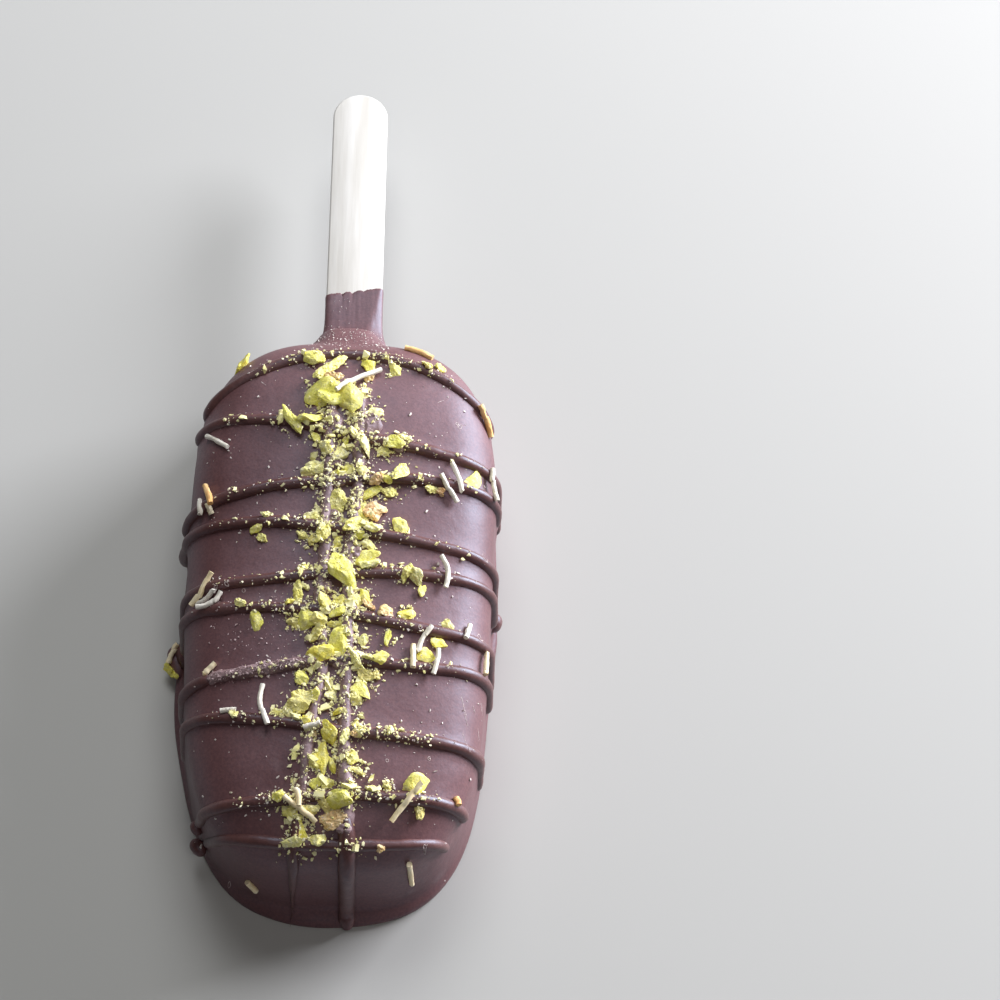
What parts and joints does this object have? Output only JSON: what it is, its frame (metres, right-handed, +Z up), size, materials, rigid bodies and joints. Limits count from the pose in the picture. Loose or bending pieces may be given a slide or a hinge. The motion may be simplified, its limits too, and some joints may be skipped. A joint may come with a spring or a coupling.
{
  "type": "filled chocolate bar on a stick",
  "caption": "Moulded dark chocolate bar with drizzle, chopped pistachio and pastry strands on its face, held on a flat wooden stick.",
  "frame": {"origin": "middle of the bar's flat back, where it lies", "axes": "+Z up through the decorated face, +Y out along the stick, +X to the right seen from above with the stick at the top"},
  "size_m": [0.0555, 0.148, 0.0287],
  "materials": {
    "dark_chocolate": "satin set chocolate, faint sheen",
    "pale_wood": "bare, sanded, fine lengthwise grain",
    "pistachio": "matt chopped nut",
    "pastry": "matt toasted pastry strands"
  },
  "bodies": {
    "root": {"chocolate_bar": "dark_chocolate", "stick": "pale_wood"}
  },
  "joints": []
}
